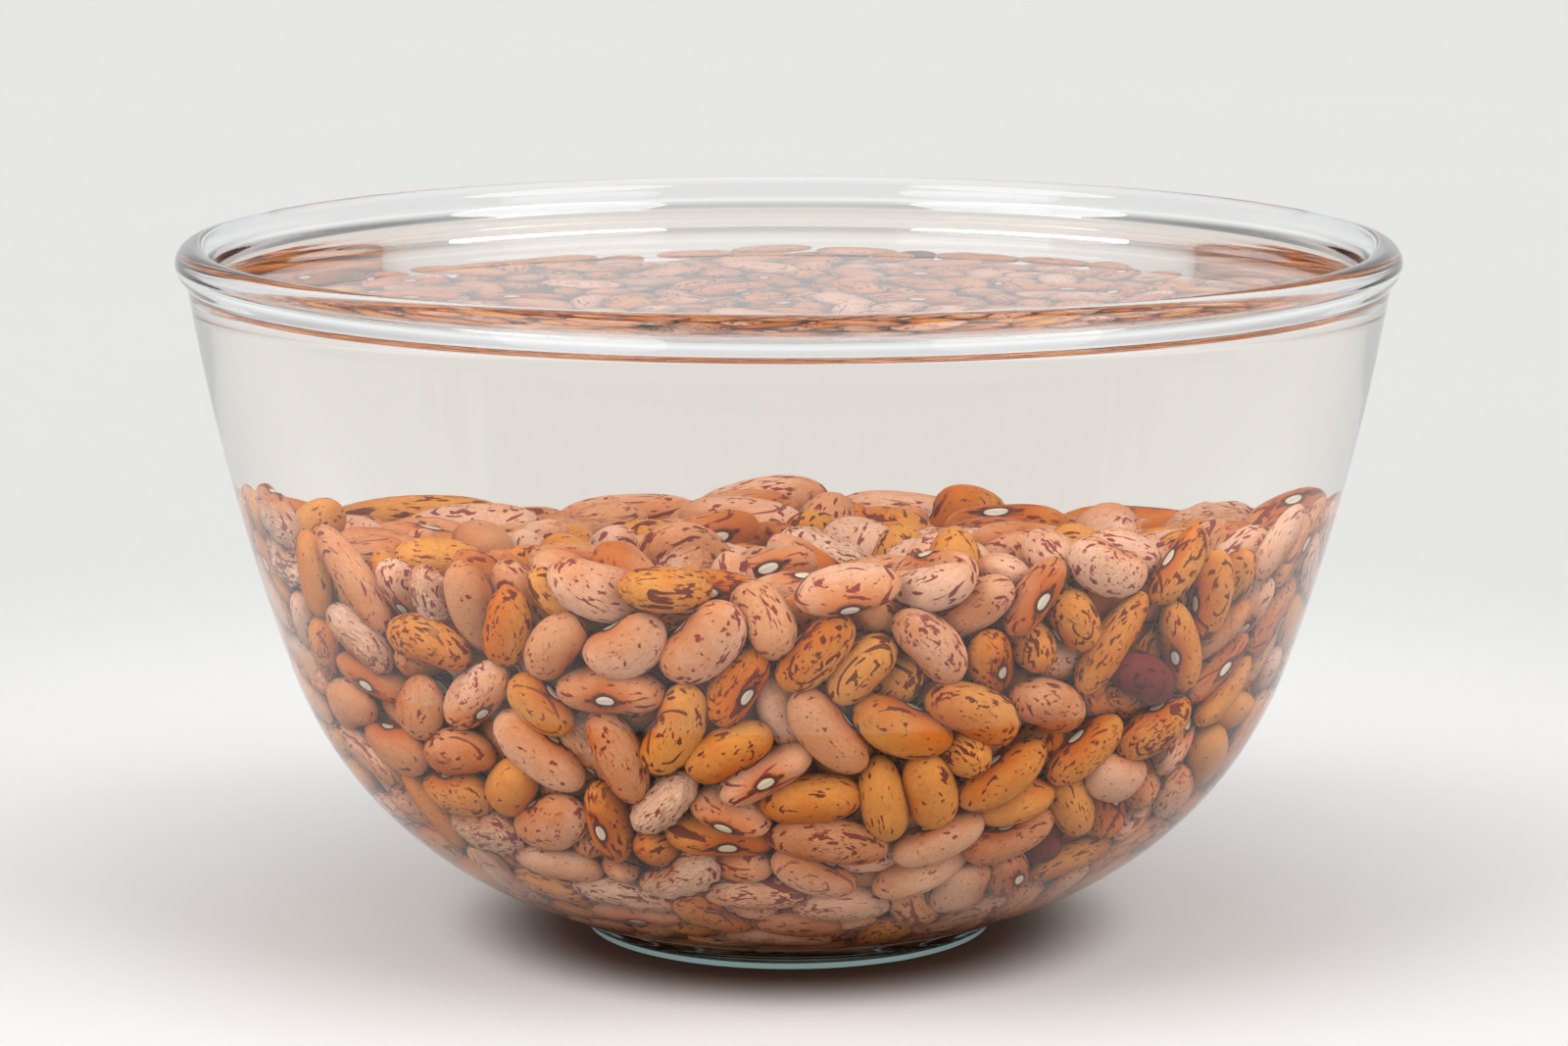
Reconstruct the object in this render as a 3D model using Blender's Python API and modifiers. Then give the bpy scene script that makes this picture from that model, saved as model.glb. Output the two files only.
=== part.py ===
"""Clear glass mixing bowl of speckled beans that soak under water.

Metres, +Z up. The origin is the centre of the flat foot, where the bowl stands.
Three solids, each clear of its neighbours:
  bowl   turned glass: foot disc, two-arc wall and a thick rounded rim
  beans  the heap: a core with the beans that show at the glass and on top fused on
  water  the clear layer over the heap, up to the level in the bowl
"""
import math
import random

import bmesh
import bpy
from mathutils import Matrix, Vector

# Bowl
RIM_RADIUS = 0.120
BOWL_HEIGHT = 0.1378
RIM_HALF = 0.00355
BULGE_DROP = 0.0060
WALL = 0.0045
FOOT_RADIUS = 0.0405
FOOT_HEIGHT = 0.0012
FOOT_ROUND = 0.0004
LOWER_CENTRE = (0.0260, 0.0802)
LOWER_RADIUS = 0.0772
UPPER_RADIUS = 0.448
SHOULDER_TILT = math.radians(71.0)
FOOT_TILT = math.radians(23.0)
TURN_STEPS = 40

# Water
WATER_LEVEL = 0.1293
WATER_OVER_BEANS = 0.0036
GAP = 0.0003
WATER_LOW = 0.1040

# Heap: the height that the bean tops reach, and its swells as (rise, x, y, spread)
HEAP_RADIUS = 0.107
HEAP_LEVEL = 0.0920
HEAP_DISH = 0.0045
SWELLS = (
    (-0.0040, -0.015, -0.104, 0.045),
    (0.0095, 0.060, -0.080, 0.032),
    (-0.0045, 0.048, 0.085, 0.038),
)

# Beans
BEAN_LENGTH = (0.0162, 0.0208)
BEAN_WIDTH = (0.0096, 0.0114)
BEAN_THICK = (0.0074, 0.0086)
BEAN_BEND = 0.0013
BEAN_SIDES = 6
BEAN_RINGS = 3
BEAN_BLUNT = 0.72
BEAN_CLEAR = 0.0011
CORE_INSET = 0.0038
CORE_STEPS = 16
WALL_BEANS = 158
TOP_BEANS = 62
FLOOR_BEANS = 7
TOP_LEAN = 0.35
WALL_LEAN = 0.15
LOWEST_TILT = math.radians(8.0)
ROW_CROWDING = 0.9
WALL_STRAY = 0.05
LEVEL_STRAY = 0.08
TOP_REACH = 0.0925
FLOOR_REACH = 0.0219
SEED = 14
GOLDEN_ANGLE = math.pi * (3.0 - math.sqrt(5.0))
TINY = 0.0001


def clear_scene():
    for item in list(bpy.context.scene.objects):
        bpy.data.objects.remove(item, do_unlink=True)


def new_collection(name):
    group = bpy.data.collections.new(name)
    bpy.context.scene.collection.children.link(group)
    return group


def new_material(name, colour, roughness, metallic=0.0, transmission=0.0):
    material = bpy.data.materials.new(name)
    material.use_nodes = True
    shader = material.node_tree.nodes["Principled BSDF"]
    shader.inputs["Base Color"].default_value = (*colour, 1.0)
    shader.inputs["Roughness"].default_value = roughness
    shader.inputs["Metallic"].default_value = metallic
    shader.inputs["Transmission Weight"].default_value = transmission
    return material


def upper_centre():
    """Centre of the wall's upper arc, which carries on smoothly from the lower one."""
    reach = UPPER_RADIUS - LOWER_RADIUS
    return (LOWER_CENTRE[0] - reach * math.sin(SHOULDER_TILT),
            LOWER_CENTRE[1] + reach * math.cos(SHOULDER_TILT))


def wall_point(tilt, inset):
    """Point of the wall where it leans at tilt from level, set in from the outside."""
    if tilt <= SHOULDER_TILT:
        centre, radius = LOWER_CENTRE, LOWER_RADIUS - inset
    else:
        centre, radius = upper_centre(), UPPER_RADIUS - inset
    return (centre[0] + radius * math.sin(tilt), centre[1] - radius * math.cos(tilt))


def tilt_at_height(z, inset):
    """Lean of the wall at height z, on the surface set in from the outside."""
    shoulder_z = wall_point(SHOULDER_TILT, inset)[1]
    if z <= shoulder_z:
        centre, radius = LOWER_CENTRE, LOWER_RADIUS - inset
    else:
        centre, radius = upper_centre(), UPPER_RADIUS - inset
    return math.acos((centre[1] - z) / radius)


def wall_radius(z, inset):
    """Radius of the wall at height z, on the surface set in from the outside."""
    return wall_point(tilt_at_height(z, inset), inset)[0]


def wall_run(low_tilt, high_z, inset, low_steps=7, high_steps=4):
    """Points up the wall from a lean of low_tilt to the height high_z."""
    high_tilt = tilt_at_height(high_z, inset)
    points = []
    for step in range(low_steps + 1):
        tilt = low_tilt + (SHOULDER_TILT - low_tilt) * step / low_steps
        points.append(wall_point(tilt, inset))
    for step in range(1, high_steps + 1):
        tilt = SHOULDER_TILT + (high_tilt - SHOULDER_TILT) * step / high_steps
        points.append(wall_point(tilt, inset))
    return points


def rim_points():
    """Half circle over the rim from the inside, then the bulge that runs into the wall."""
    centre_r = RIM_RADIUS - RIM_HALF
    centre_z = BOWL_HEIGHT - RIM_HALF
    points = []
    for step in range(7):
        turn = math.pi * (1.0 - step / 6)
        points.append((centre_r + RIM_HALF * math.cos(turn),
                       centre_z + RIM_HALF * math.sin(turn)))
    bulge = RIM_RADIUS - wall_radius(centre_z, 0.0)
    for share in (0.35, 0.65, 0.85):
        z = centre_z - BULGE_DROP * share
        points.append((wall_radius(z, 0.0) + bulge * (1.0 - share ** 3) ** 2, z))
    return points


def foot_points():
    """Fillet from the wall down to the foot disc, its rounded edge, then the centre."""
    start = wall_point(FOOT_TILT, 0.0)
    corner = (FOOT_RADIUS, start[1] - (start[0] - FOOT_RADIUS) * math.tan(FOOT_TILT))
    end = (FOOT_RADIUS, FOOT_HEIGHT)
    points = []
    for share in (0.3, 0.6, 0.82, 1.0):
        weights = ((1.0 - share) ** 2, 2.0 * share * (1.0 - share), share ** 2)
        points.append(tuple(weights[0] * start[i] + weights[1] * corner[i]
                            + weights[2] * end[i] for i in (0, 1)))
    for step in range(3):
        turn = math.radians(45.0 * step)
        points.append((FOOT_RADIUS - FOOT_ROUND * (1.0 - math.cos(turn)),
                       FOOT_ROUND * (1.0 - math.sin(turn))))
    points.append((0.0, 0.0))
    return points


def turned_object(name, points, material, group):
    """A profile of (radius, height) points turned about Z by a Screw modifier."""
    mesh = bpy.data.meshes.new(name)
    edges = [(i, i + 1) for i in range(len(points) - 1)]
    mesh.from_pydata([(r, 0.0, z) for r, z in points], edges, [])
    mesh.materials.append(material)
    item = bpy.data.objects.new(name, mesh)
    group.objects.link(item)
    screw = item.modifiers.new("Turn", "SCREW")
    screw.steps = TURN_STEPS
    screw.render_steps = TURN_STEPS
    screw.use_merge_vertices = True
    screw.merge_threshold = 0.00001
    screw.use_smooth_shade = True
    return item


def make_bowl(group, material):
    inner = wall_run(0.0, WATER_LEVEL, WALL)
    outer = wall_run(FOOT_TILT, BOWL_HEIGHT - RIM_HALF - BULGE_DROP, 0.0)
    points = [(0.0, inner[0][1])] + inner + rim_points()
    points += list(reversed(outer)) + foot_points()
    return turned_object("bowl", points, material, group)


def heap_top(x, y):
    """Height that the bean tops reach at a place in the bowl."""
    height = HEAP_LEVEL + HEAP_DISH * (x / HEAP_RADIUS) ** 2
    for rise, swell_x, swell_y, spread in SWELLS:
        away = math.hypot(x - swell_x, y - swell_y)
        height += rise * math.exp(-(away / spread) ** 2)
    return height


def apply_modifiers(item):
    """Give the object the mesh that its modifiers make, and drop the modifiers."""
    bpy.context.view_layer.update()
    evaluated = item.evaluated_get(bpy.context.evaluated_depsgraph_get())
    mesh = bpy.data.meshes.new_from_object(evaluated)
    item.modifiers.clear()
    item.data = mesh


def shape_end(item, level, drop, inset):
    """Give the level end of a turned solid the form of the heap's top, less drop."""
    level_edge = wall_radius(level, inset)
    for vertex in item.data.vertices:
        if abs(vertex.co.z - level) > TINY:
            continue
        radius = math.hypot(vertex.co.x, vertex.co.y)
        if radius > 0.0:
            way = (vertex.co.x / radius, vertex.co.y / radius)
            edge_z = heap_top(level_edge * way[0], level_edge * way[1]) - drop
            radius *= wall_radius(edge_z, inset) / level_edge
            vertex.co.x = radius * way[0]
            vertex.co.y = radius * way[1]
        vertex.co.z = heap_top(vertex.co.x, vertex.co.y) - drop


def disc_radii(edge):
    """Radii of the rings across a level end, so that it can take the heap's form."""
    return [edge * step / 5 for step in range(4, -1, -1)]


def make_core(group, material):
    """The heap without its outer beans: turned inside the glass, with a shaped top."""
    inset = WALL + CORE_INSET
    level = HEAP_LEVEL
    side = wall_run(0.0, level, inset, low_steps=5, high_steps=1)
    edge = side[-1][0]
    top = [(radius, level) for radius in disc_radii(edge)]
    points = top[::-1] + side[::-1] + [(0.0, side[0][1])]
    item = turned_object("beans", points, material, group)
    item.modifiers["Turn"].steps = CORE_STEPS
    item.modifiers["Turn"].render_steps = CORE_STEPS
    apply_modifiers(item)
    shape_end(item, level, CORE_INSET, inset)
    return item


def bean_mesh(length, width, thick):
    """Few-sided bean: long axis X, width Y, thickness Z, blunt ends and a bent waist."""
    mesh = bpy.data.meshes.new("bean piece")
    shape = bmesh.new()
    bmesh.ops.create_uvsphere(shape, u_segments=BEAN_SIDES, v_segments=BEAN_RINGS, radius=1.0)
    for vertex in shape.verts:
        along = math.copysign(abs(vertex.co.z) ** BEAN_BLUNT, vertex.co.z)
        girth = math.hypot(vertex.co.x, vertex.co.y)
        swell = girth ** (BEAN_BLUNT - 1.0) if girth > TINY else 0.0
        bend = BEAN_BEND * (1.0 - along ** 2)
        vertex.co = Vector((0.5 * length * along,
                            0.5 * width * swell * vertex.co.y - bend,
                            0.5 * thick * swell * vertex.co.x))
    bmesh.ops.recalc_face_normals(shape, faces=shape.faces)
    shape.to_mesh(mesh)
    shape.free()
    return mesh


def place_bean(group, draw, point, normal, spin, lean):
    """Lay a bean flat under the surface at point, whose way out is normal."""
    length = draw.uniform(*BEAN_LENGTH)
    width = draw.uniform(*BEAN_WIDTH)
    thick = draw.uniform(*BEAN_THICK)
    item = bpy.data.objects.new("bean piece", bean_mesh(length, width, thick))
    group.objects.link(item)
    flat = normal.to_track_quat("Z", "X").to_matrix().to_4x4()
    turn = Matrix.Rotation(spin, 4, "Z") @ Matrix.Rotation(lean, 4, "Y")
    centre = Vector(point) - normal * (0.5 * thick + BEAN_CLEAR)
    item.matrix_world = Matrix.Translation(centre) @ flat @ turn


def place_wall_beans(group, draw):
    """Beans against the glass: equal steps of area up the wall, turned by a golden angle."""
    low = wall_point(LOWEST_TILT, WALL)[1]
    for index in range(WALL_BEANS):
        share = (index + 0.5) / WALL_BEANS
        azimuth = index * GOLDEN_ANGLE + draw.uniform(-WALL_STRAY, WALL_STRAY)
        way = (math.sin(azimuth), -math.cos(azimuth))
        edge_top = heap_top(way[0] * HEAP_RADIUS, way[1] * HEAP_RADIUS)
        z = low + (edge_top - 0.5 * BEAN_WIDTH[0] - low) * share ** ROW_CROWDING
        tilt = tilt_at_height(z, WALL)
        radius = wall_point(tilt, WALL)[0]
        point = (radius * way[0], radius * way[1], z)
        normal = Vector((math.sin(tilt) * way[0], math.sin(tilt) * way[1], -math.cos(tilt)))
        room = math.asin(min(1.0, (edge_top - z) / (0.5 * BEAN_LENGTH[1])))
        spin = 0.5 * math.pi + draw.uniform(-room, room)
        place_bean(group, draw, point, normal, spin, draw.uniform(-WALL_LEAN, WALL_LEAN))


def place_level_beans(group, draw, count, reach, height, normal):
    """Beans over a nearly level surface, spread like the seeds of a sunflower."""
    for index in range(count):
        radius = reach * math.sqrt((index + 0.5) / count)
        azimuth = index * GOLDEN_ANGLE + draw.uniform(-LEVEL_STRAY, LEVEL_STRAY)
        x = radius * math.sin(azimuth)
        y = -radius * math.cos(azimuth)
        spin = draw.uniform(0.0, math.pi)
        lean = draw.uniform(-TOP_LEAN, TOP_LEAN) * normal.z
        place_bean(group, draw, (x, y, height(x, y)), normal, spin, lean)


def floor_level(x, y):
    """Height of the glass floor, which is level out to where the wall starts to rise."""
    return wall_point(0.0, WALL)[1]


def keep_largest_body(mesh):
    """Drop loose scraps, and fill sealed hollows, whose walls are bodies of their own."""
    shape = bmesh.new()
    shape.from_mesh(mesh)
    left = set(shape.verts)
    bodies = []
    while left:
        body = [left.pop()]
        for vertex in body:
            for edge in vertex.link_edges:
                other = edge.other_vert(vertex)
                if other in left:
                    left.remove(other)
                    body.append(other)
        bodies.append(body)
    bodies.sort(key=len)
    for body in bodies[:-1]:
        bmesh.ops.delete(shape, geom=body, context="VERTS")
    bmesh.ops.triangulate(shape, faces=shape.faces)
    shape.to_mesh(mesh)
    shape.free()
    mesh.shade_flat()


def make_beans(group, pieces, material):
    core = make_core(group, material)
    draw = random.Random(SEED)
    place_wall_beans(pieces, draw)
    place_level_beans(pieces, draw, TOP_BEANS, TOP_REACH, heap_top, Vector((0.0, 0.0, 1.0)))
    place_level_beans(pieces, draw, FLOOR_BEANS, FLOOR_REACH, floor_level,
                      Vector((0.0, 0.0, -1.0)))
    union = core.modifiers.new("Fuse", "BOOLEAN")
    union.operation = "UNION"
    union.operand_type = "COLLECTION"
    union.collection = pieces
    union.solver = "EXACT"
    apply_modifiers(core)
    for piece in list(pieces.objects):
        bpy.data.objects.remove(piece, do_unlink=True)
    keep_largest_body(core.data)
    return core


def make_water(group, material):
    """Clear layer from just over the beans up to the level in the bowl."""
    inset = WALL + GAP
    low = WATER_LOW
    side = [(wall_radius(z, inset), z) for z in (WATER_LEVEL, 0.5 * (WATER_LEVEL + low), low)]
    bottom = [(radius, low) for radius in disc_radii(side[-1][0])]
    points = [(0.0, WATER_LEVEL)] + side + bottom
    item = turned_object("water", points, material, group)
    apply_modifiers(item)
    shape_end(item, low, -WATER_OVER_BEANS, inset)
    return item


def main():
    clear_scene()
    group = new_collection("bowl of beans")
    pieces = new_collection("bean pieces")
    glass = new_material("clear glass", (0.86, 0.93, 0.92), 0.03, transmission=1.0)
    skin = new_material("speckled bean skin", (0.62, 0.36, 0.20), 0.45)
    clear = new_material("clear water", (0.93, 0.93, 0.90), 0.02, transmission=1.0)
    make_bowl(group, glass)
    make_beans(group, pieces, skin)
    make_water(group, clear)
    bpy.data.collections.remove(pieces)


main()
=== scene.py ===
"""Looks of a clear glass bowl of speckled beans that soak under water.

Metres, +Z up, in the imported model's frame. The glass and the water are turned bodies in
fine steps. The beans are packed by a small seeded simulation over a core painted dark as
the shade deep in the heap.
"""
import math

import bpy
import numpy as np
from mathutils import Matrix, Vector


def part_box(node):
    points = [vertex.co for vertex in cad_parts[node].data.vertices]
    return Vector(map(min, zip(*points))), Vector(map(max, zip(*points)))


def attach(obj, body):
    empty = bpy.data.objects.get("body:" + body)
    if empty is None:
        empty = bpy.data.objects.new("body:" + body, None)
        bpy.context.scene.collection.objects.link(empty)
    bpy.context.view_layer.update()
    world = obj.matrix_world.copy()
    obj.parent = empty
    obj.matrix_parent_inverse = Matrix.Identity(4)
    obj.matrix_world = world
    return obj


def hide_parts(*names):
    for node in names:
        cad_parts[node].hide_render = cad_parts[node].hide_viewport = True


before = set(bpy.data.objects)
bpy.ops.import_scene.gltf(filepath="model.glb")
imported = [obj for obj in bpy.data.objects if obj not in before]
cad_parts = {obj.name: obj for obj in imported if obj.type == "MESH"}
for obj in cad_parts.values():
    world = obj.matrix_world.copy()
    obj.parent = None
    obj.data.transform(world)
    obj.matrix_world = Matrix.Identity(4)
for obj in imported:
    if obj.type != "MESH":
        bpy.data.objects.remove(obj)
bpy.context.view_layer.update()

# Bowl, as in the model but for a shorter bulge under the rim: two arcs for the wall, set
# by the rim's size in the frame
RIM_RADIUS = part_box("bowl")[1][0]
BOWL_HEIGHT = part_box("bowl")[1][2]
RIM_HALF = 0.00355
BULGE_DROP = 0.0044
WALL = 0.0045
FOOT_RADIUS = 0.0405
FOOT_HEIGHT = 0.0012
FOOT_ROUND = 0.0004
LOWER_CENTRE = (0.0260, 0.0802)
LOWER_RADIUS = 0.0772
UPPER_RADIUS = 0.448
SHOULDER_TILT = math.radians(71.0)
FOOT_TILT = math.radians(23.0)
UPPER_REACH = UPPER_RADIUS - LOWER_RADIUS
UPPER_CENTRE = (LOWER_CENTRE[0] - UPPER_REACH * math.sin(SHOULDER_TILT),
                LOWER_CENTRE[1] + UPPER_REACH * math.cos(SHOULDER_TILT))
FLOOR_LEVEL = LOWER_CENTRE[1] - LOWER_RADIUS + WALL
GLASS_STEPS = 192
FOOT_TINT_TOP = 0.0030
LOW_GLASS_TOP = 0.060
SHARP_EDGE = math.radians(38.0)

# Tints of the glass, and strength of reflection where it meets air and water
GLASS_TINT = (0.980, 0.993, 0.988)
GLASS_EDGE_TINT = (0.62, 0.72, 0.73)
# The warm tint of the low glass is painted warm light, as from light coming through the beans
LOW_GLASS_PAINTED_WARM_LIGHT = (1.0, 0.912, 0.808)
FOOT_TINT = (0.22, 0.305, 0.295)
GLASS_UNEVEN = 0.985
GLASS_IOR = 1.47
GLASS_SHADOW = (0.99, 0.99, 0.985)
DRY_GLOSS = 1.0
WET_GLOSS = 0.15
LOW_GLASS_GLOSS = 0.12

# Water
WATER_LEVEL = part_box("water")[1][2]
INTO_GLASS = 0.00015
MENISCUS_RISE = 0.0020
MENISCUS_REACH = 0.0022
MENISCUS_FOOT = 0.0004
WATER_STEPS = 192
WATER_TOP_STEPS = 40
WATER_IOR = 1.33
WATER_TINT = (0.998, 0.936, 0.894)
WATER_TINT_DEEP = (0.990, 0.924, 0.880)
WATER_TOP_SHADOW = (0.48, 0.47, 0.45)
WATER_SIDE_SHADOW = (0.94, 0.93, 0.92)

# Heap, as in the model: the height that the bean tops reach, and its swells as
# (rise, x, y, spread)
HEAP_RADIUS = 0.107
HEAP_LEVEL = 0.0920
HEAP_DISH = 0.0045
SWELLS = (
    (-0.0040, -0.015, -0.104, 0.045),
    (0.0095, 0.060, -0.080, 0.032),
    (-0.0045, 0.048, 0.085, 0.038),
)

# Beans: mean size and its spread, and the depth of the loose ones over the core
BEAN_SIZE = (0.0184, 0.0105, 0.0081)
BEAN_SPREAD = (0.0017, 0.0009, 0.0006)
BEAN_COUNT = 1350
SHELL = 0.024
CORE_LAP = 0.002
CORE_STEPS = 48
CORE_RINGS = 6

# Start of the packing: how far out, how far in from the glass, and how far under a
# level that lies START_RISE over the heap's top
SEED = 3
START_REACH = 0.112
START_CLEAR = 0.004
START_RISE = 0.004
START_UNDER = 0.003
LAID_DEPTH = 0.010
LEAN_SPREAD = 0.75
ROLL_SPREAD = 0.35

# Steps of the packing, the growth to full size and the drift of a bean in each step
BALLS = 5
SETTLE_STEPS = 220
SWEEPS = 3
START_SIZE = 0.5
GROWING_SHARE = 0.45
SINK = 0.00004
KEPT_DRIFT = 0.85
LONGEST_MOVE = 0.0015

# Neighbours, the strength of each push, and the play of the heap's top
PAIR_REACH = 0.0016
NEAR_GAP = 0.004
GLASS_CLEAR = 0.00025
OVER_PUSH = 1.6
LID_PUSH = 0.3
CORE_PUSH = 0.5
LID_PLAY = 0.0022

# Bean shapes as (least, most), and the spread of the taper to one end
BEAN_BEND = (0.0001, 0.0012)
BEAN_BLUNT = (0.74, 0.97)
BEAN_FLAT = (0.0, 0.16)
BEAN_SKEW = 0.05

# Depth from the glass and under the top to which beans show and get the fine mesh,
# and the meshes as (sides, rings)
SEEN_DEPTH = 0.0105
SEEN_UNDER = 0.010
FINE_GRID = (28, 14)
WRINKLED_GRID = (44, 26)
PLAIN_GRID = (14, 8)

# Camera, fitted to the bowl's outline in the photograph
IMAGE_WIDTH = 1600.0
CAMERA_PLACE = (0.0, -0.9617, 0.2493)
CAMERA_PITCH = 0.1736
FOCAL_PIXELS = 5015.7
SENSOR = 36.0
AXIS_SHIFT_PIXELS = 5.0

# Floor, with its colours as shown on screen: greys of the paper near and far, which paint light
# brighter near the bowl and dimmer far off, a painted warm bounce light and a painted dark shadow
# round the foot
FLOOR_HALF = 6.0
FLOOR_DROP = 0.0002
FLOOR_NEAR_PAINTED_LIGHT = (253, 253, 253)
FLOOR_FAR_PAINTED_FALLOFF = (232, 232, 232)
FLOOR_MOTTLE = (236, 236, 236)
FLOOR_PAINTED_BOUNCE_LIGHT = (226, 200, 188)
FLOOR_PAINTED_SHADOW = (92, 52, 32)

# Light
ROOM_LIGHT = (0.31, 0.305, 0.30)
BACKDROP_LIGHT = (0.81, 0.805, 0.805)
GLOW_LIGHT = (0.92, 0.92, 0.92)
# Softboxes as (name, azimuth, elevation, spread, power), with the angles in degrees
SOFTBOXES = (
    ("high left", -60.0, 46.0, 38.0, 1.36),
    ("high right", 60.0, 46.0, 38.0, 1.36),
    ("low left", -40.0, 9.0, 34.0, 0.66),
    ("low right", 44.0, 9.0, 34.0, 0.46),
)


def hot(value):
    """A colour as shown on screen, 0 to 255, as the linear value that shaders take."""
    share = value / 255.0
    return share / 12.92 if share <= 0.04045 else ((share + 0.055) / 1.055) ** 2.4


def shade(red, green, blue):
    return (hot(red), hot(green), hot(blue), 1.0)


# Wall profile

def wall_point(tilt, inset):
    """Point of the wall where it leans at tilt from level, set in from the outside."""
    if tilt <= SHOULDER_TILT:
        centre, radius = LOWER_CENTRE, LOWER_RADIUS - inset
    else:
        centre, radius = UPPER_CENTRE, UPPER_RADIUS - inset
    return (centre[0] + radius * math.sin(tilt), centre[1] - radius * math.cos(tilt))


def tilt_at_height(z, inset):
    shoulder_z = wall_point(SHOULDER_TILT, inset)[1]
    if z <= shoulder_z:
        centre, radius = LOWER_CENTRE, LOWER_RADIUS - inset
    else:
        centre, radius = UPPER_CENTRE, UPPER_RADIUS - inset
    return math.acos((centre[1] - z) / radius)


def wall_radius(z, inset):
    return wall_point(tilt_at_height(z, inset), inset)[0]


def wall_run(low_tilt, high_z, inset, low_steps=28, high_steps=16):
    """Points up the wall from a lean of low_tilt to the height high_z."""
    high_tilt = tilt_at_height(high_z, inset)
    low = [low_tilt + (SHOULDER_TILT - low_tilt) * i / low_steps for i in range(low_steps + 1)]
    high = [SHOULDER_TILT + (high_tilt - SHOULDER_TILT) * i / high_steps
            for i in range(1, high_steps + 1)]
    return [wall_point(tilt, inset) for tilt in low + high]


def rim_points(steps=20, bulge_steps=16):
    """Half circle over the rim from the inside, then the bulge that runs into the wall."""
    centre_r = RIM_RADIUS - RIM_HALF
    centre_z = BOWL_HEIGHT - RIM_HALF
    points = []
    for step in range(steps + 1):
        turn = math.pi * (1.0 - step / steps)
        points.append((centre_r + RIM_HALF * math.cos(turn),
                       centre_z + RIM_HALF * math.sin(turn)))
    bulge = RIM_RADIUS - wall_radius(centre_z, 0.0)
    for step in range(1, bulge_steps):
        share = step / bulge_steps
        z = centre_z - BULGE_DROP * share
        points.append((wall_radius(z, 0.0) + bulge * (1.0 - share ** 3) ** 2, z))
    return points


def foot_points(steps=8, round_steps=5):
    """Fillet from the wall down to the foot disc, its rounded edge, then the centre."""
    start = wall_point(FOOT_TILT, 0.0)
    corner = (FOOT_RADIUS, start[1] - (start[0] - FOOT_RADIUS) * math.tan(FOOT_TILT))
    end = (FOOT_RADIUS, FOOT_HEIGHT)
    points = []
    for step in range(1, steps + 1):
        share = step / steps
        weights = ((1.0 - share) ** 2, 2.0 * share * (1.0 - share), share ** 2)
        points.append(tuple(weights[0] * start[i] + weights[1] * corner[i]
                            + weights[2] * end[i] for i in (0, 1)))
    for step in range(round_steps + 1):
        turn = 0.5 * math.pi * step / round_steps
        points.append((FOOT_RADIUS - FOOT_ROUND * (1.0 - math.cos(turn)),
                       FOOT_ROUND * (1.0 - math.sin(turn))))
    points.append((0.0, 0.0))
    return points


def turned_object(name, points, steps, material):
    """A closed body from (radius, height) points that run down from the axis to the axis."""
    ring = np.array(points[1:-1])
    angle = 2.0 * math.pi * np.arange(steps) / steps
    way = np.column_stack([np.cos(angle), np.sin(angle)])
    body = np.concatenate([
        (ring[:, None, :1] * way[None]).reshape(-1, 2),
        np.repeat(ring[:, 1], steps)[:, None]], axis=1)
    first, last = len(body), len(body) + 1
    body = np.vstack([body, [0.0, 0.0, points[0][1]], [0.0, 0.0, points[-1][1]]])
    here = np.arange(steps)
    after = (here + 1) % steps
    faces = []
    for row in range(len(ring) - 1):
        base, below = row * steps, (row + 1) * steps
        faces += np.column_stack([base + here, below + here, below + after, base + after]).tolist()
    faces += [[first, i, j] for i, j in zip(here.tolist(), after.tolist())]
    base = (len(ring) - 1) * steps
    faces += [[last, base + j, base + i] for i, j in zip(here.tolist(), after.tolist())]
    mesh = bpy.data.meshes.new(name)
    mesh.from_pydata(body.tolist(), [], faces)
    mesh.materials.append(material)
    mesh.shade_smooth()
    mesh.set_sharp_from_angle(angle=SHARP_EDGE)
    item = bpy.data.objects.new(name, mesh)
    bpy.context.scene.collection.objects.link(item)
    return item


# Heap form

def heap_top(x, y):
    """Height that the bean tops reach at places in the bowl."""
    height = HEAP_LEVEL + HEAP_DISH * (x / HEAP_RADIUS) ** 2
    for rise, swell_x, swell_y, spread in SWELLS:
        away = (x - swell_x) ** 2 + (y - swell_y) ** 2
        height = height + rise * np.exp(-away / spread ** 2)
    return height


def wall_depth(points):
    """Distance in from the glass and the way straight out to it, for each point."""
    rho = np.maximum(np.hypot(points[:, 0], points[:, 1]), 1e-9)
    way = points[:, :2] / rho[:, None]
    low_r, low_z = rho - LOWER_CENTRE[0], LOWER_CENTRE[1] - points[:, 2]
    low = np.maximum(np.hypot(low_r, low_z), 1e-9)
    high_r, high_z = rho - UPPER_CENTRE[0], UPPER_CENTRE[1] - points[:, 2]
    high = np.hypot(high_r, high_z)
    upper = (np.arctan2(low_r, low_z) > SHOULDER_TILT) | (low_z <= 0.0)
    depth = np.where(upper, UPPER_RADIUS - WALL - high, LOWER_RADIUS - WALL - low)
    out_r = np.where(upper, high_r / high, low_r / low)
    out_z = np.where(upper, -high_z / high, -low_z / low)
    level = low_r < 0.0
    depth = np.where(level, points[:, 2] - FLOOR_LEVEL, depth)
    out_r = np.where(level, 0.0, out_r)
    out_z = np.where(level, -1.0, out_z)
    return depth, np.column_stack([way * out_r[:, None], out_z])


# Packing

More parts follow.
